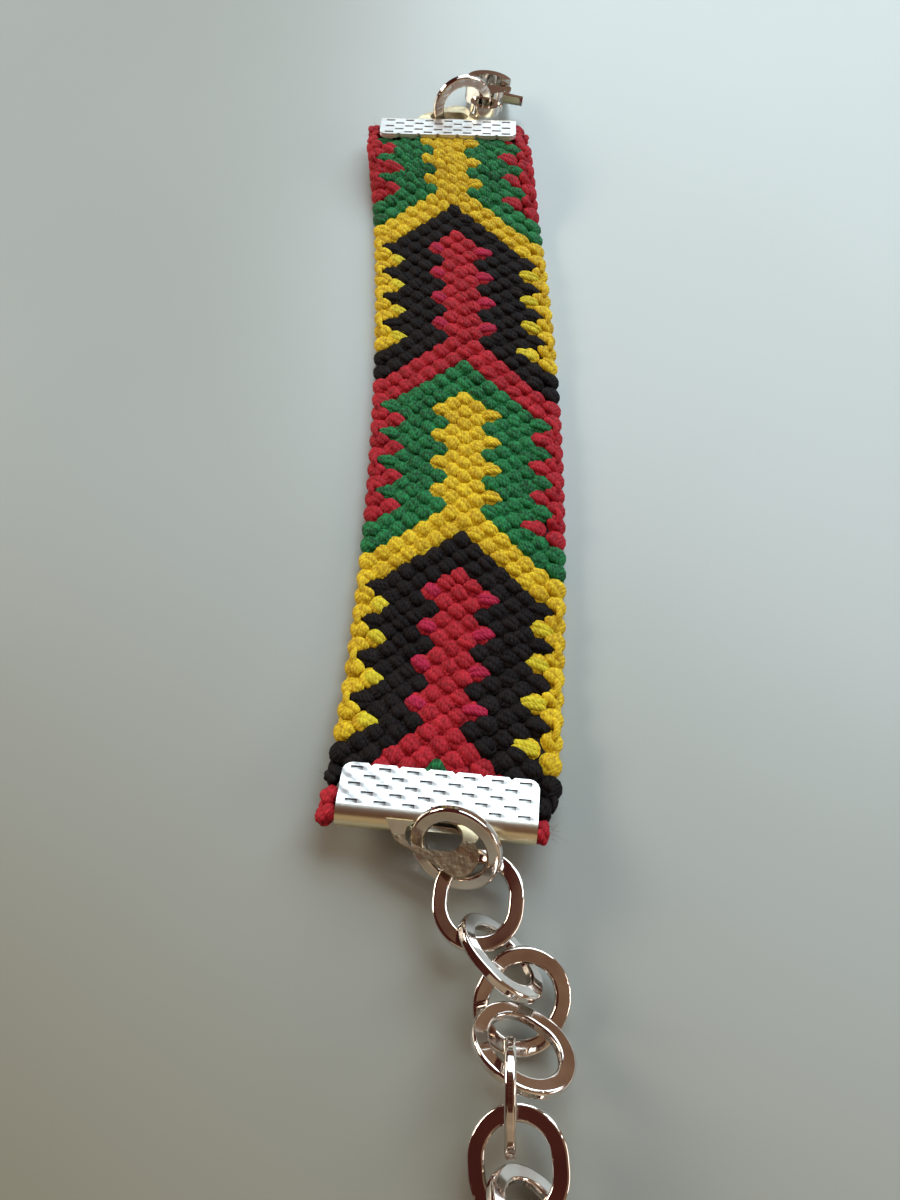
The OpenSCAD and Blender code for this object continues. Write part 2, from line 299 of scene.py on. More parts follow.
def knot_form(knot):
    """The lean of a knot's groove in degrees, and the length, spread, thickness and shift of its
    turns in millimetres."""
    column, tip = knot["column"], knot["tip"]
    if tip == "notch":
        return {"lean": 20 if column > 0 else 8, "length": 2.3, "spread": 0.08, "thick": 0.44,
                "shift": math.copysign(0.42, column)}
    if tip and column == 2:
        return {"lean": -8, "length": 1.95, "spread": 0.1, "thick": 0.42, "shift": 0.25}
    if tip and column == -2:
        return {"lean": 30, "length": 1.7, "spread": 0.1, "thick": 0.44, "shift": 0.0}
    if tip and knot["row"] <= segment_rows:
        return {"lean": 14 if column > 0 else 30, "length": 2.5, "spread": 0.14, "thick": 0.48,
                "shift": math.copysign(0.5, -column)}
    if tip and column > 0:
        return {"lean": 14, "length": 2.1, "spread": 0.13, "thick": 0.44,
                "shift": right_point_out[knot["row"] % segment_rows]}
    if tip:
        return {"lean": 36, "length": 1.8, "spread": 0.13, "thick": 0.46, "shift": 0.3}
    if abs(knot["run"]) > band_len / 2:
        near_end = knot["row"] >= 103
        shift = 0.1 if column < 0 else (-0.7 if near_end else -0.45)
        thick = 0.62 if near_end and column < 0 else 0.46
        return {"lean": 60, "length": 1.6, "spread": 0.16, "thick": thick, "shift": shift}
    if abs(column) == 7:
        return {"lean": 44, "length": 1.6, "spread": 0.15, "thick": 0.5, "shift": 0.0}
    if column < 0:
        return {"lean": 52, "length": 1.55, "spread": 0.12, "thick": 0.49, "shift": 0.0}
    if column == 0:
        return {"lean": 45, "length": 1.55, "spread": 0.12, "thick": 0.49, "shift": 0.0}
    return {"lean": 32, "length": 1.55, "spread": 0.12, "thick": 0.48, "shift": 0.0}


# A turn is pressed to turn_flat of its thickness and sinks into the face by turn_sink of its
# radius. Its ends dip under the next knots. Inside a crimp it thins less than the band does.
turn_flat = 0.74
turn_sink = 0.72
turn_dip = 0.3
turn_bulge = 0.04
kept_more = 0.35


def lay_turn(target, knot, form, offset, steps, sides, face, jog):
    """One turn of a knot, on the face (1) or the back (-1)."""
    lean = math.radians(form["lean"] + jog["lean"] + dice.uniform(-4, 4)) * face
    ahead = np.array([math.cos(lean), -math.sin(lean)])
    aside = np.array([math.sin(lean), math.cos(lean)])
    t = np.linspace(-1, 1, steps)
    half = form["length"] / 2 * dice.uniform(0.9, 1.12)
    bulge = turn_bulge * (1 - t ** 2) * np.sign(offset)
    apart = offset * form["spread"] * dice.uniform(0.6, 1.9)
    x = (knot["across"] + form["shift"] + jog["across"]
         + ahead[0] * half * t + aside[0] * (apart + bulge))
    y = knot["run"] + jog["run"] + ahead[1] * half * t + aside[1] * (apart + bulge)
    arch = np.sqrt(np.clip(1 - (t * 0.97) ** 2, 0, 1))
    radius = form["thick"] * dice.uniform(0.9, 1.08) * np.clip(0.25 + 0.8 * arch, 0, 1)
    dip = turn_dip * (1 - arch)
    kept = squeeze(y, x)
    if face > 0:
        z = (face_height(x) - radius * turn_sink - dip + jog["height"]) * kept
    else:
        z = (back_height(x) + radius * turn_sink + dip) * kept
    radius = radius * np.minimum(1, kept + kept_more)
    target.lay(np.stack([x, y, z], -1), radius, sides, dice.random(), flat=turn_flat)


# Under its turns a knot has a wide flat pad, turned against their lean.
pad_lean = 35
pad_half = 1.05
pad_deep = 0.56
pad_width = 1.1
pad_width_in_crimp = 0.5
pad_flat = 0.36


def lay_pad(target, knot, form, face):
    """The part of a knot that lies under its turns and closes the gaps to the next knots."""
    lean = math.radians(form["lean"] + pad_lean) * face
    t = np.sin(np.linspace(-math.pi / 2, math.pi / 2, 7))
    x = knot["across"] + form["shift"] * 0.5 + math.cos(lean) * pad_half * t
    y = knot["run"] - math.sin(lean) * pad_half * t
    kept = squeeze(y, x)
    deep = pad_deep + dice.uniform(0, 0.06)
    z = (face_height(x) - deep) * kept if face > 0 else (back_height(x) + deep) * kept
    width = pad_width_in_crimp if abs(knot["run"]) > band_len / 2 else pad_width
    arch = np.sqrt(np.clip(1 - (t * 0.96) ** 2, 0, 1))
    radius = width * arch * np.minimum(1, kept + kept_more)
    target.lay(np.stack([x, y, z], -1), radius, 12, dice.random(), flat=pad_flat)


for knot in knots:
    form = knot_form(knot)
    shade = knot["colour"]
    if knot["tip"] == "spine" and shade == "red":
        shade = "cool_red"
    if knot["tip"] == "edge" and shade == "yellow":
        shade = "lime_yellow"
    jog = {
        "lean": dice.uniform(-12, 12),
        "across": dice.uniform(-0.09, 0.09),
        "run": dice.uniform(-0.09, 0.09),
        "height": dice.uniform(-0.12, 0.02),
    }
    face_floss = floss[shade]
    rear_floss = back_floss[knot["colour"]]
    lay_pad(floss[knot["colour"]], knot, form, face=1)
    lay_pad(rear_floss, knot, form, face=-1)
    for offset in (-1, 1):
        lay_turn(face_floss, knot, form, offset, steps=9, sides=10, face=1, jog=jog)
        lay_turn(rear_floss, knot, form, offset, steps=6, sides=6, face=-1, jog=jog)

# On the rims each string runs round the edge from its knot to the next one in its column. The
# turn nearer the face shows only between the teeth.
rim_string = 0.24
rim_out = 0.2
rim_out_in_crimp = 0.1
rim_heights = (0.1, -0.5)
for knot in knots:
    after = knot_at.get((knot["row"] + 2, knot["column"]))
    if abs(knot["column"]) < last_column or after is None or after["colour"] != knot["colour"]:
        continue
    out = math.copysign(1.0, knot["column"])
    t = np.linspace(0, 1, 7)
    arch = np.sin(math.pi * t)
    y = knot["run"] + (after["run"] - knot["run"]) * t
    middle = knot["across"] + (after["across"] - knot["across"]) * t
    past = rim_out_in_crimp if abs(knot["run"]) > band_len / 2 else rim_out
    between_teeth = knot["row"] % 4 == 1
    for height in (rim_heights if between_teeth else rim_heights[1:]):
        x = middle + out * (past + 0.3 * arch + dice.uniform(-0.1, 0.05))
        z = height + 0.25 * arch + dice.uniform(-0.1, 0.1)
        radius = rim_string + 0.08 * arch
        floss[knot["colour"]].lay(np.stack([x, y, z], -1), radius, 8, dice.random())


# Loose fibres stand off the floss all over and most of all along the rims.
fibre_thick = 0.014
fibres_on_rim = 6
fibres_elsewhere = 2


def lay_fibre(target, root, out, length):
    """One loose fibre, bent on its way, thinner towards its tip and always above the table."""
    t = np.linspace(0, 1, 5)
    bend = np.array([dice.uniform(-1, 1), dice.uniform(-1, 1), dice.uniform(-0.6, 0.6)]) * 0.5
    line = np.array(root) + length * (t[:, None] * out + (t[:, None] ** 2) * bend)
    line[:, 2] = np.maximum(line[:, 2], -band_t / 2 + 0.05)
    target.lay(line, fibre_thick * (1 - 0.7 * t), 3, dice.random())


for knot in knots:
    rim = abs(knot["column"]) == last_column
    for _ in range(fibres_on_rim if rim else fibres_elsewhere):
        x = knot["across"] + dice.uniform(-0.5, 0.5)
        y = knot["run"] + dice.uniform(-0.5, 0.5)
        z = float(face_height(np.array(x)) * squeeze(np.array(y), np.array(x))) - 0.08
        out = np.array([dice.uniform(-1, 1), dice.uniform(-1, 1), dice.uniform(0.1, 0.7)])
        if rim:
            out[0] = math.copysign(dice.uniform(0.5, 1.2), knot["column"])
            z -= dice.uniform(0, 0.6)
        lay_fibre(floss[knot["colour"]], (x, y, z), out, dice.uniform(0.3, 0.8))


def math_node(tree, kind, *values, clamp=False):
    """A math node whose inputs are numbers or the outputs of other nodes."""
    made = tree.nodes.new("ShaderNodeMath")
    made.operation = kind
    made.use_clamp = clamp
    for socket, value in zip(made.inputs, values):
        if isinstance(value, (int, float)):
            socket.default_value = value
        else:
            tree.links.new(value, socket)
    return made.outputs[0]


def noise_node(tree, place, scale, detail, roughness=0.5):
    """Soft cloudy noise at a place, finer where the scale is larger."""
    made = tree.nodes.new("ShaderNodeTexNoise")
    made.inputs["Scale"].default_value = scale
    made.inputs["Detail"].default_value = detail
    made.inputs["Roughness"].default_value = roughness
    tree.links.new(place, made.inputs["Vector"])
    return made.outputs["Fac"]


# Cotton floss: six strands lie side by side with a slight twist, each with a soft satin sheen.
def cotton_twist():
    """Shader group: the strands' lines, painted shade in their grooves, painted highlight specks,
    the floss's own tone, and the bump of a length of floss.
    """
    group = bpy.data.node_groups.new("cotton_twist", "ShaderNodeTree")
    sockets = group.interface
    sockets.new_socket("Deep", in_out="INPUT", socket_type="NodeSocketColor")
    sockets.new_socket("Bright", in_out="INPUT", socket_type="NodeSocketColor")
    sockets.new_socket("Strands", in_out="INPUT", socket_type="NodeSocketFloat")
    sockets.new_socket("Relief", in_out="INPUT", socket_type="NodeSocketFloat")
    sockets.new_socket("Colour", in_out="OUTPUT", socket_type="NodeSocketColor")
    sockets.new_socket("Roughness", in_out="OUTPUT", socket_type="NodeSocketFloat")
    sockets.new_socket("Normal", in_out="OUTPUT", socket_type="NodeSocketVector")
    nodes, links = group.nodes, group.links
    given = nodes.new("NodeGroupInput")
    put = nodes.new("NodeGroupOutput")

    # Round the length with a slight twist, the strands' tops at 1 and their grooves at 0.
    thread = nodes.new("ShaderNodeAttribute")
    thread.attribute_name = "thread"
    parts = nodes.new("ShaderNodeSeparateXYZ")
    links.new(thread.outputs["Vector"], parts.inputs[0])
    twist = math_node(group, "MULTIPLY", parts.outputs["Y"], 0.45)
    round_it = math_node(group, "ADD", parts.outputs["X"], twist)
    turns = math_node(group, "MULTIPLY", round_it, given.outputs["Strands"])
    wave = math_node(group, "SINE", math_node(group, "MULTIPLY", turns, 2 * math.pi))
    strand = math_node(group, "MULTIPLY_ADD", wave, 0.5, 0.5)

    # Painted shade in the strands' grooves and painted highlight specks from the lint noise, with
    # the length's own tone and slow wear, mix the deep colour with the bright one.
    where = nodes.new("ShaderNodeTexCoord")
    lint_and_glints = noise_node(group, where.outputs["Object"], scale=2700, detail=3)
    wear = noise_node(group, where.outputs["Object"], scale=420, detail=2)
    light = math_node(group, "MULTIPLY", strand, 0.26)
    for part, weight in ((lint_and_glints, 1.9), (parts.outputs["Z"], 0.3), (wear, 0.35)):
        light = math_node(group, "ADD", light, math_node(group, "MULTIPLY", part, weight))
    light = math_node(group, "SUBTRACT", light, 1.02, clamp=True)
    mixed = nodes.new("ShaderNodeMix")
    mixed.data_type = "RGBA"
    links.new(light, mixed.inputs["Factor"])
    links.new(given.outputs["Deep"], mixed.inputs["A"])
    links.new(given.outputs["Bright"], mixed.inputs["B"])
    links.new(mixed.outputs["Result"], put.inputs["Colour"])
    rough = math_node(group, "MULTIPLY_ADD", lint_and_glints, 0.3, 0.48)
    links.new(rough, put.inputs["Roughness"])

    # The bump raises the strands and the lint by a few hundredths of a millimetre.
    height = math_node(group, "ADD", math_node(group, "MULTIPLY", strand, given.outputs["Relief"]),
                       math_node(group, "MULTIPLY", lint_and_glints, 1.4))
    bump = nodes.new("ShaderNodeBump")
    bump.inputs["Strength"].default_value = 0.9
    bump.inputs["Distance"].default_value = 0.00006
    links.new(height, bump.inputs["Height"])
    links.new(bump.outputs["Normal"], put.inputs["Normal"])
    return group


twist_group = cotton_twist()


def cotton(name, deep, bright, sheen, gloss=0.2):
    """Floss dyed one colour, with painted shade between its strands and painted highlights on top of
    them.
    """
    made = bpy.data.materials.new(name)
    made.use_nodes = True
    shader = made.node_tree.nodes["Principled BSDF"]
    strands = made.node_tree.nodes.new("ShaderNodeGroup")
    strands.node_tree = twist_group
    strands.inputs["Deep"].default_value = (*deep, 1)
    strands.inputs["Bright"].default_value = (*bright, 1)
    strands.inputs["Strands"].default_value = 6
    strands.inputs["Relief"].default_value = 0.5
    made.node_tree.links.new(strands.outputs["Colour"], shader.inputs["Base Color"])
    made.node_tree.links.new(strands.outputs["Roughness"], shader.inputs["Roughness"])
    made.node_tree.links.new(strands.outputs["Normal"], shader.inputs["Normal"])
    shader.inputs["Specular IOR Level"].default_value = gloss
    shader.inputs["Sheen Weight"].default_value = sheen
    shader.inputs["Sheen Roughness"].default_value = 0.4
    return made


# Each floss's deep colour is its dye in painted shade, and its bright colour is its dye under a
# painted highlight.
cottons = {
    "red": cotton("red_cotton", (0.24, 0.001, 0.008), (0.62, 0.022, 0.040), 0.02),
    "cool_red": cotton("cool_red_cotton", (0.28, 0.002, 0.026), (0.60, 0.018, 0.085), 0.02),
    "green": cotton("green_cotton", (0.001, 0.044, 0.011), (0.022, 0.30, 0.092), 0.02),
    "yellow": cotton("yellow_cotton", (0.46, 0.26, 0.002), (0.98, 0.74, 0.030), 0.03),
    "lime_yellow": cotton("lime_yellow_cotton", (0.44, 0.34, 0.006), (0.88, 0.76, 0.040), 0.03),
    "black": cotton("black_cotton", (0.0018, 0.0010, 0.0014), (0.021, 0.015, 0.016), 0.0, 0.10),
}

for part, group in (("face", floss), ("back", back_floss)):
    for name, gathered in group.items():
        piece = gathered.mesh(f"{name}_knots_{part}")
        piece.data.materials.append(cottons[name])
        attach(piece, "bracelet")


# Core of the band
# Inside the knots the lengths of floss that aren't knotting at the time run on as a flat pad. It
# shows only between the knots and is coloured near-black there as painted shade, whatever the colour
# of its floss. Its ends are squeezed into the crimps.
core_half_w = 8.8
core_under_knots = 0.6
core_half_w_in_crimp = 7.8
core_half_t_in_crimp = 0.36
core_even_run = 37.6
core_end_runs = [38.6, 39.0, 41.9]


def core_skin():
    """Rows of points on the pad's upper and lower side, on the flattened band."""
    near_runs = [-run for run in reversed(core_end_runs)]
    even_runs = np.linspace(-core_even_run, core_even_run, 60)
    runs = np.concatenate([near_runs, even_runs, core_end_runs])
    places = np.linspace(-1, 1, 19)
    top, low = [], []
    for run in runs:
        inside = abs(run) > band_len / 2
        x = places * (core_half_w_in_crimp if inside else core_half_w)
        y = np.full_like(x, run)
        if inside:
            top_z = np.full_like(x, core_half_t_in_crimp)
            low_z = np.full_like(x, -core_half_t_in_crimp)
        else:
            top_z = (face_height(x) - core_under_knots) * squeeze(y, x)
            low_z = (back_height(x) + core_under_knots) * squeeze(y, x)
        top.append(np.stack([x, y, top_z], -1))
        low.append(np.stack([x, y, low_z], -1))
    return np.array(top), np.array(low)


top, low = core_skin()
rows, columns = top.shape[:2]
flat = np.concatenate([top.reshape(-1, 3), low.reshape(-1, 3)])
below = rows * columns
faces = []
for row in range(rows - 1):
    for column in range(columns - 1):
        here = row * columns + column
        after = here + columns
        faces.append([here, here + 1, after + 1, after])
        faces.append([below + here, below + after, below + after + 1, below + here + 1])
    left = row * columns
    right = left + columns - 1
    faces.append([left, left + columns, below + left + columns, below + left])
    faces.append([right, below + right, below + right + columns, right + columns])
for column in range(columns - 1):
    end = (rows - 1) * columns + column
    faces.append([column, below + column, below + column + 1, column + 1])
    faces.append([end, end + 1, below + end + 1, below + end])
core_data = bpy.data.meshes.new("band_core")
core_data.from_pydata(on_band(flat[:, 0], flat[:, 1], flat[:, 2]).tolist(), [], faces)
core = bpy.data.objects.new("band_core", core_data)
bpy.context.scene.collection.objects.link(core)

core_shade_cotton = bpy.data.materials.new("core_shade_cotton")
core_shade_cotton.use_nodes = True
core_nodes = core_shade_cotton.node_tree.nodes
core_links = core_shade_cotton.node_tree.links
core_shader = core_nodes["Principled BSDF"]
core_noise = core_nodes.new("ShaderNodeTexNoise")
core_noise.inputs["Scale"].default_value = 900
core_ramp = core_nodes.new("ShaderNodeValToRGB")
# Near-black painted shade for the gaps between the knots.
core_ramp.color_ramp.elements[0].color = (0.006, 0.004, 0.004, 1)
core_ramp.color_ramp.elements[1].color = (0.022, 0.012, 0.010, 1)
core_links.new(core_noise.outputs["Fac"], core_ramp.inputs["Fac"])
core_links.new(core_ramp.outputs["Color"], core_shader.inputs["Base Color"])
core_bump = core_nodes.new("ShaderNodeBump")
core_bump.inputs["Distance"].default_value = 0.0001
core_links.new(core_noise.outputs["Fac"], core_bump.inputs["Height"])
core_links.new(core_bump.outputs["Normal"], core_shader.inputs["Normal"])
core_shader.inputs["Roughness"].default_value = 0.9
core.data.materials.append(core_shade_cotton)
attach(core, "bracelet")
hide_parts("band")


# Crimps
# Each crimp is one piece of stamped steel sheet, folded over the band's end and pressed shut so
# that its teeth bite, then plated bright. The plating picks up fine rubs and a soft grain.

# The middle of each crimp's fold, in millimetres.
near_fold = (-1.211, -43.364, 3.1)
far_fold = (-0.130, 43.388, 1.9)


def worn_plating():
    """Shader group: the colour, gloss and fine relief of bright plating with light wear."""
    group = bpy.data.node_groups.new("worn_plating", "ShaderNodeTree")
    sockets = group.interface
    sockets.new_socket("Clean", in_out="INPUT", socket_type="NodeSocketColor")
    sockets.new_socket("Dull", in_out="INPUT", socket_type="NodeSocketColor")
    sockets.new_socket("Polish", in_out="INPUT", socket_type="NodeSocketFloat")
    sockets.new_socket("Grain", in_out="INPUT", socket_type="NodeSocketFloat")
    sockets.new_socket("Bend", in_out="INPUT", socket_type="NodeSocketFloat")
    sockets.new_socket("Colour", in_out="OUTPUT", socket_type="NodeSocketColor")
    sockets.new_socket("Roughness", in_out="OUTPUT", socket_type="NodeSocketFloat")
    sockets.new_socket("Normal", in_out="OUTPUT", socket_type="NodeSocketVector")
    nodes, links = group.nodes, group.links
    given = nodes.new("NodeGroupInput")
    put = nodes.new("NodeGroupOutput")
    where = nodes.new("ShaderNodeTexCoord")
    cloud = noise_node(group, where.outputs["Object"], scale=260, detail=4)
    rubs = noise_node(group, where.outputs["Object"], scale=2600, detail=5, roughness=0.7)
    slow = noise_node(group, where.outputs["Object"], scale=130, detail=0)

    # Dull patches lie in the clean plating, and fine rubs take some of its gloss.
    patch = nodes.new("ShaderNodeMapRange")
    patch.inputs["From Min"].default_value = 0.42
    patch.inputs["From Max"].default_value = 0.68
    links.new(cloud, patch.inputs["Value"])
    colour = nodes.new("ShaderNodeMix")
    colour.data_type = "RGBA"
    links.new(patch.outputs["Result"], colour.inputs["Factor"])
    links.new(given.outputs["Clean"], colour.inputs["A"])
    links.new(given.outputs["Dull"], colour.inputs["B"])
    links.new(colour.outputs["Result"], put.inputs["Colour"])
    spread = math_node(group, "MULTIPLY_ADD", rubs, 0.08, given.outputs["Polish"])
    links.new(spread, put.inputs["Roughness"])

    # The relief is a grain on a slow bend, up to a tenth of a millimetre for one unit.
    bent = math_node(group, "MULTIPLY", slow, given.outputs["Bend"])
    relief = math_node(group, "MULTIPLY_ADD", cloud, given.outputs["Grain"], bent)
    bump = nodes.new("ShaderNodeBump")
    bump.inputs["Strength"].default_value = 0.5
    bump.inputs["Distance"].default_value = 0.0001
    links.new(relief, bump.inputs["Height"])
    links.new(bump.outputs["Normal"], put.inputs["Normal"])
    return group


# Places on a crimp, in metres in its own frame, which has its fold at y = 0 and the middle of its
# height at z = 0. Across the plate the dents stand as far apart as its seven teeth.
dent_floor_from = 0.00105
dent_floor_to = 0.00115
dent_pitch_across = 0.002286
dent_pitch_along = 0.0015
plate_start = 0.0013
fold_middle = 0.0005
tab_end = -0.0007


def pressed_dents():
    """Shader group: marks the floors of the waffle dents, where shade is painted, the soft pillows
    between them, the scratch marks on the loop tab, which also pattern its painted reflection, and
    the light along the fold."""
    group = bpy.data.node_groups.new("pressed_dents", "ShaderNodeTree")
    sockets = group.interface
    sockets.new_socket("Place", in_out="INPUT", socket_type="NodeSocketVector")
    sockets.new_socket("Dent", in_out="OUTPUT", socket_type="NodeSocketFloat")
    sockets.new_socket("Pillow", in_out="OUTPUT", socket_type="NodeSocketFloat")
    sockets.new_socket("Tab", in_out="OUTPUT", socket_type="NodeSocketFloat")
    sockets.new_socket("Fold", in_out="OUTPUT", socket_type="NodeSocketFloat")
    nodes, links = group.nodes, group.links
    given = nodes.new("NodeGroupInput")
    put = nodes.new("NodeGroupOutput")
    parts = nodes.new("ShaderNodeSeparateXYZ")
    links.new(given.outputs["Place"], parts.inputs[0])
    x, y, z = parts.outputs["X"], parts.outputs["Y"], parts.outputs["Z"]

    height = math_node(group, "ABSOLUTE", z)
    below = math_node(group, "LESS_THAN", height, dent_floor_to)
    above = math_node(group, "GREATER_THAN", height, dent_floor_from)
    flat_part = math_node(group, "GREATER_THAN", y, plate_start)
    floor = math_node(group, "MULTIPLY", below, above)
    dent = math_node(group, "MULTIPLY", floor, flat_part)
    links.new(dent, put.inputs["Dent"])

    across_turn = math_node(group, "MULTIPLY", x, 2 * math.pi / dent_pitch_across)
    along_turn = math_node(group, "MULTIPLY", y, 2 * math.pi / dent_pitch_along)
    across = math_node(group, "SINE", across_turn)
    along = math_node(group, "SINE", along_turn)
    waves = math_node(group, "MULTIPLY", across, along)
    pillow = math_node(group, "MULTIPLY", waves, flat_part)
    links.new(pillow, put.inputs["Pillow"])

    tab = math_node(group, "LESS_THAN", y, tab_end)
    tab_scratches_and_reflection = noise_node(group, given.outputs["Place"], scale=1400, detail=3)
    links.new(math_node(group, "MULTIPLY", tab, tab_scratches_and_reflection), put.inputs["Tab"])
    fold = nodes.new("ShaderNodeMapRange")
    fold.inputs["From Min"].default_value = plate_start
    fold.inputs["From Max"].default_value = fold_middle
    links.new(y, fold.inputs["Value"])
    links.new(fold.outputs["Result"], put.inputs["Fold"])
    return group


plating_group = worn_plating()
dent_group = pressed_dents()


def plating(name, clean, dull, polish, grain, bend):
    """Bright plating: its clean and dull colours, its gloss, its grain and how uneven it is."""
    made = bpy.data.materials.new(name)
    made.use_nodes = True
    shader = made.node_tree.nodes["Principled BSDF"]
    shader.inputs["Metallic"].default_value = 1.0
    worn = made.node_tree.nodes.new("ShaderNodeGroup")
    worn.node_tree = plating_group
    worn.inputs["Clean"].default_value = (*clean, 1)
    worn.inputs["Dull"].default_value = (*dull, 1)
    worn.inputs["Polish"].default_value = polish
    worn.inputs["Grain"].default_value = grain
    worn.inputs["Bend"].default_value = bend
    made.node_tree.links.new(worn.outputs["Colour"], shader.inputs["Base Color"])
    made.node_tree.links.new(worn.outputs["Roughness"], shader.inputs["Roughness"])
    made.node_tree.links.new(worn.outputs["Normal"], shader.inputs["Normal"])
    return made


def finish_node(node, material):
    """Gives a CAD node its plating."""
    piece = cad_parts[node]
    piece.data.materials.clear()
    piece.data.materials.append(material)


def tinted(tree, mask, base, tint):
    """The base colour with a tint laid over it where the mask is above 0."""
    made = tree.nodes.new("ShaderNodeMix")
    made.data_type = "RGBA"
    tree.links.new(mask, made.inputs["Factor"])
    tree.links.new(base, made.inputs["A"])
    made.inputs["B"].default_value = (*tint, 1)
    return made.outputs["Result"]


def raised(tree, mask, under, strength, depth):
    """The normal with a bump of the mask added, its depth in millimetres."""
    made = tree.nodes.new("ShaderNodeBump")
    made.inputs["Strength"].default_value = strength
    made.inputs["Distance"].default_value = MM * depth
    tree.links.new(mask, made.inputs["Height"])
    tree.links.new(under, made.inputs["Normal"])
    return made.outputs["Normal"]


crimp_clean = (0.86, 0.86, 0.85)
crimp_dull = (0.72, 0.71, 0.69)
# Painted reflections: a warm one along the fold and a brown one on the tab.
fold_reflection_tint = (0.90, 0.80, 0.54)
tab_reflection_tint = (0.30, 0.22, 0.14)


def stamped_plating(name, fold_place, turn, pillow_depth, dent_shade_tone, polish, grain, bend):
    """Plating for one crimp: painted shade in its dents, pillows between them, a warm painted
    reflection along its fold and a brown painted reflection on its scratched tab."""
    made = plating(name, crimp_clean, crimp_dull, polish, grain, bend)
    tree = made.node_tree
    shader = tree.nodes["Principled BSDF"]
    worn = next(node for node in tree.nodes if node.type == "GROUP")
    place = tree.nodes.new("ShaderNodeTexCoord")
    own = tree.nodes.new("ShaderNodeMapping")
    own.vector_type = "TEXTURE"
    own.inputs["Location"].default_value = [MM * part for part in fold_place]
    own.inputs["Rotation"].default_value = [math.radians(angle) for angle in turn]
    tree.links.new(place.outputs["Object"], own.inputs["Vector"])
    dents = tree.nodes.new("ShaderNodeGroup")
    dents.node_tree = dent_group
    tree.links.new(own.outputs["Vector"], dents.inputs["Place"])
    # The dents' floors are painted darker as painted shade.
    dent_shade_tint = (dent_shade_tone, dent_shade_tone * 0.98, dent_shade_tone * 0.95)
    dent_shaded = tinted(tree, dents.outputs["Dent"], worn.outputs["Colour"], dent_shade_tint)
    # The fold takes a warm painted reflection.
    fold_reflected = tinted(tree, dents.outputs["Fold"], dent_shaded, fold_reflection_tint)
    # The tab takes a brown painted reflection, patterned by its scratches.
    tab_reflected = tinted(tree, dents.outputs["Tab"], fold_reflected, tab_reflection_tint)
    tree.links.new(tab_reflected, shader.inputs["Base Color"])
    pillowed = raised(tree, dents.outputs["Pillow"], worn.outputs["Normal"], 0.8, pillow_depth)
    scratched = raised(tree, dents.outputs["Tab"], pillowed, 0.6, 0.15)
    tree.links.new(scratched, shader.inputs["Normal"])
    return made


near_plating = stamped_plating(
    "near_crimp_plating", near_fold, (near_tilt, 0, near_turn), pillow_depth=0.045,
    dent_shade_tone=0.34, polish=0.27, grain=0.5, bend=1.5)
finish_node("crimp_near", near_plating)
far_plating = stamped_plating(
    "far_crimp_plating", far_fold, (far_tilt, 0, 180 + far_turn), pillow_depth=0.01,
    dent_shade_tone=0.60, polish=0.42, grain=0.05, bend=0.2)
finish_node("crimp_far", far_plating)


# Jump rings and extender chain
# Rings and links are bent from flattened steel wire and closed edge to edge, then plated. They
# mirror the dark room more than the crimps do.
chain_plating = plating(
    "chain_plating", clean=(0.80, 0.75, 0.71), dull=(0.60, 0.52, 0.47),
    polish=0.04, grain=0.4, bend=14)
for node in sorted(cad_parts):
    if node.startswith(("link_", "jump_ring_")):
        finish_node(node, chain_plating)


# Lobster clasp
# The clasp's body is cast with its eye and hook in one, and the sprung lever turns on a pin. It
# is plated like the chain.
clasp_plating = plating(
    "clasp_plating", clean=(0.80, 0.77, 0.73), dull=(0.60, 0.55, 0.50),
    polish=0.07, grain=0.4, bend=5)
for node in ("clasp_body", "clasp_lever"):
    finish_node(node, clasp_plating)


# Table
# It stands in for the table of the photograph and isn't part of the bracelet.
table_reach = 1.2
# The near tone is painted shade, and the far tone is painted light.
table_near_shade = (0.270, 0.245, 0.175)
table_far_light = (0.455, 0.500, 0.490)
table_fleck = (0.92, 0.92, 0.90)
corners = [(x * table_reach, y * table_reach, 0) for x, y in ((-1, -1), (1, -1), (1, 1), (-1, 1))]
table_data = bpy.data.meshes.new("table_top")
table_data.from_pydata(corners, [], [(0, 1, 2, 3)])
table_top = bpy.data.objects.new("table_top", table_data)
bpy.context.scene.collection.objects.link(table_top)
table_paint = bpy.data.materials.new("table_paint")
table_paint.use_nodes = True
paint = table_paint.node_tree
paint_shader = paint.nodes["Principled BSDF"]
paint_place = paint.nodes.new("ShaderNodeTexCoord")
paint_flecks = noise_node(paint, paint_place.outputs["Object"], scale=30, detail=2)

# Painted shade and painted light: the table is painted darker and warmer on the near side, giving
# way to a lighter, cooler tone further off, a little sooner on the right.
paint_parts = paint.nodes.new("ShaderNodeSeparateXYZ")
paint.links.new(paint_place.outputs["Object"], paint_parts.inputs[0])
paint_run = math_node(paint, "MULTIPLY_ADD", paint_parts.outputs["X"], 0.6, paint_parts.outputs["Y"])
paint_change = paint.nodes.new("ShaderNodeMapRange")
paint_change.interpolation_type = "SMOOTHSTEP"
paint_change.inputs["From Min"].default_value = -0.110
paint_change.inputs["From Max"].default_value = -0.018
paint.links.new(paint_run, paint_change.inputs["Value"])
paint_light_fall = paint.nodes.new("ShaderNodeMix")
paint_light_fall.data_type = "RGBA"
paint_light_fall.inputs["A"].default_value = (*table_near_shade, 1)
paint_light_fall.inputs["B"].default_value = (*table_far_light, 1)
paint.links.new(paint_change.outputs["Result"], paint_light_fall.inputs["Factor"])
flecked = paint.nodes.new("ShaderNodeMix")
flecked.data_type = "RGBA"
flecked.blend_type = "MULTIPLY"
flecked.inputs["B"].default_value = (*table_fleck, 1)
paint.links.new(paint_flecks, flecked.inputs["Factor"])
paint.links.new(paint_light_fall.outputs["Result"], flecked.inputs["A"])
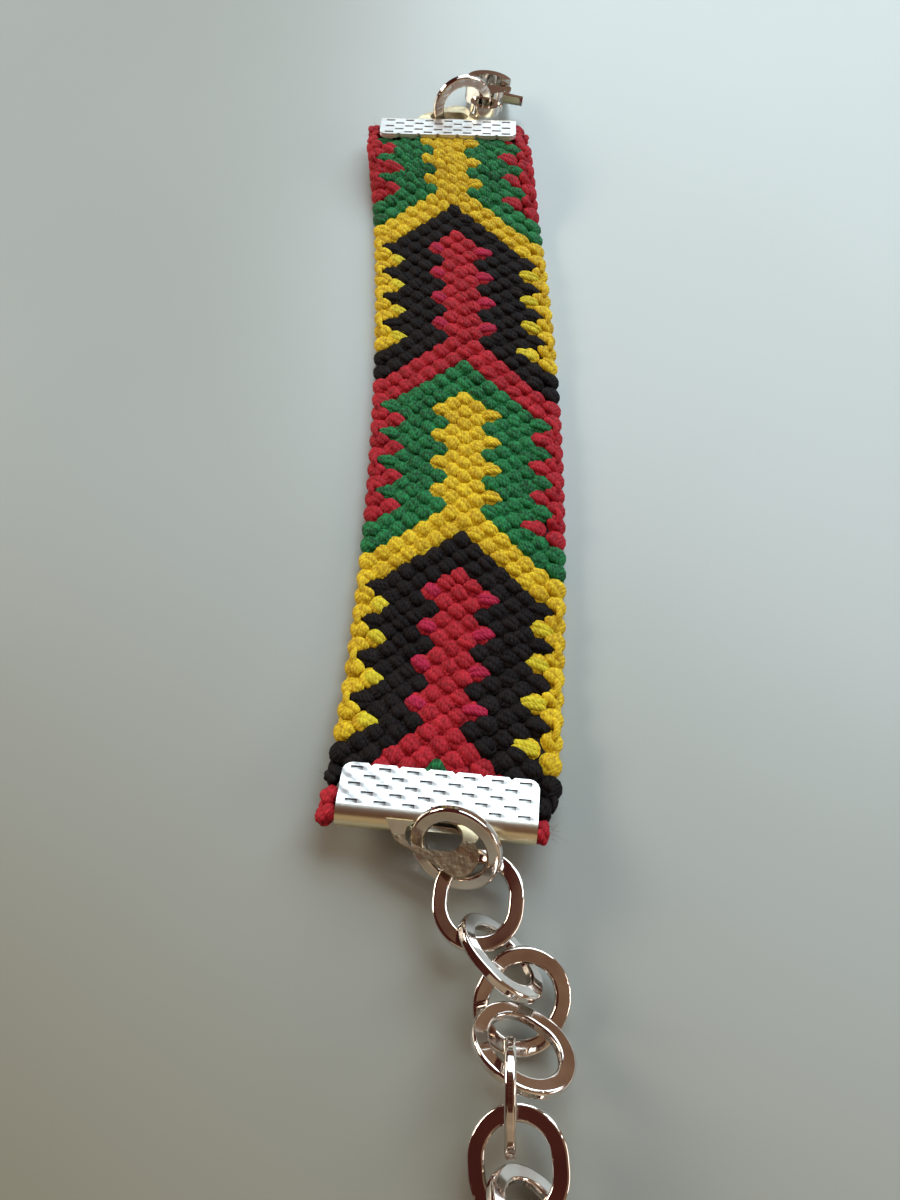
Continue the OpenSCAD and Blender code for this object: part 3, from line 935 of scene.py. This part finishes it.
paint.links.new(flecked.outputs["Result"], paint_shader.inputs["Base Color"])
paint_shader.inputs["Roughness"].default_value = 0.3
paint_shader.inputs["Specular IOR Level"].default_value = 0.62
table_top.data.materials.append(table_paint)


# Light
# Soft daylight comes from a window beyond the bracelet and to the right and from a lower one on
# its left, with a weak warm fill from the near side. The room is dim and warm, which the polished
# metal mirrors.
def soft_light(name, place, aim, size, power, colour):
    """A soft rectangular light, its size the width and the height."""
    data = bpy.data.lights.new(name, "AREA")
    data.shape = "RECTANGLE"
    data.size = size[0]
    data.size_y = size[1]
    data.energy = power
    data.color = colour
    lamp = bpy.data.objects.new(name, data)
    lamp.location = place
    away = np.array(place) - np.array(aim)
    flat_run = math.hypot(away[0], away[1])
    lamp.rotation_euler = (math.atan2(flat_run, away[2]), 0, math.atan2(away[0], -away[1]))
    bpy.context.scene.collection.objects.link(lamp)


soft_light("window", place=(0.35, 0.62, 0.60), aim=(0, 0.02, 0), size=(1.0, 0.7),
           power=10.6, colour=(0.75, 0.91, 1.0))
soft_light("side_window", place=(-0.58, 0.30, 0.28), aim=(0, 0.05, 0), size=(0.5, 0.16),
           power=3.4, colour=(1.0, 0.89, 0.72))
soft_light("right_lamp", place=(0.55, -0.15, 0.22), aim=(0, 0, 0), size=(0.4, 0.12),
           power=0.7, colour=(1.0, 0.95, 0.88))
soft_light("pale_wall", place=(0.0, -0.80, 0.32), aim=(0, 0, 0.2), size=(1.3, 0.6),
           power=0.75, colour=(1.0, 0.88, 0.60))

# The room overhead is dark brown, darker on the left than on the right.
room_dark = (0.065, 0.016, 0.012)
room_light = (0.22, 0.13, 0.080)
room = bpy.data.worlds.new("room")
room.use_nodes = True
walls = room.node_tree
room_place = walls.nodes.new("ShaderNodeTexCoord")
clutter = noise_node(walls, room_place.outputs["Generated"], scale=7, detail=3)
room_parts = walls.nodes.new("ShaderNodeSeparateXYZ")
walls.links.new(room_place.outputs["Generated"], room_parts.inputs[0])
room_side = math_node(walls, "MULTIPLY_ADD", room_parts.outputs["X"], 2.6, clutter)
room_ramp = walls.nodes.new("ShaderNodeValToRGB")
room_ramp.color_ramp.elements[0].position = 0.42
room_ramp.color_ramp.elements[0].color = (*room_dark, 1)
room_ramp.color_ramp.elements[1].position = 0.92
room_ramp.color_ramp.elements[1].color = (*room_light, 1)
walls.links.new(room_side, room_ramp.inputs["Fac"])
walls.links.new(room_ramp.outputs["Color"], walls.nodes["Background"].inputs["Color"])
walls.nodes["Background"].inputs["Strength"].default_value = 1.0
bpy.context.scene.world = room
bpy.context.scene.view_settings.view_transform = "Standard"


# Camera
# The photograph was taken from just in front of the near crimp, looking steeply down the band
# from 81 mm above the table.
camera_data = bpy.data.cameras.new("photo_camera")
camera_data.sensor_fit = "VERTICAL"
camera_data.sensor_height = 36
camera_data.lens = 30
camera_data.clip_start = 0.001
camera = bpy.data.objects.new("photo_camera", camera_data)
camera.location = (0, -0.0646, 0.081)
camera.rotation_euler = (math.radians(28.4), 0, 0)
bpy.context.scene.collection.objects.link(camera)
bpy.context.scene.camera = camera
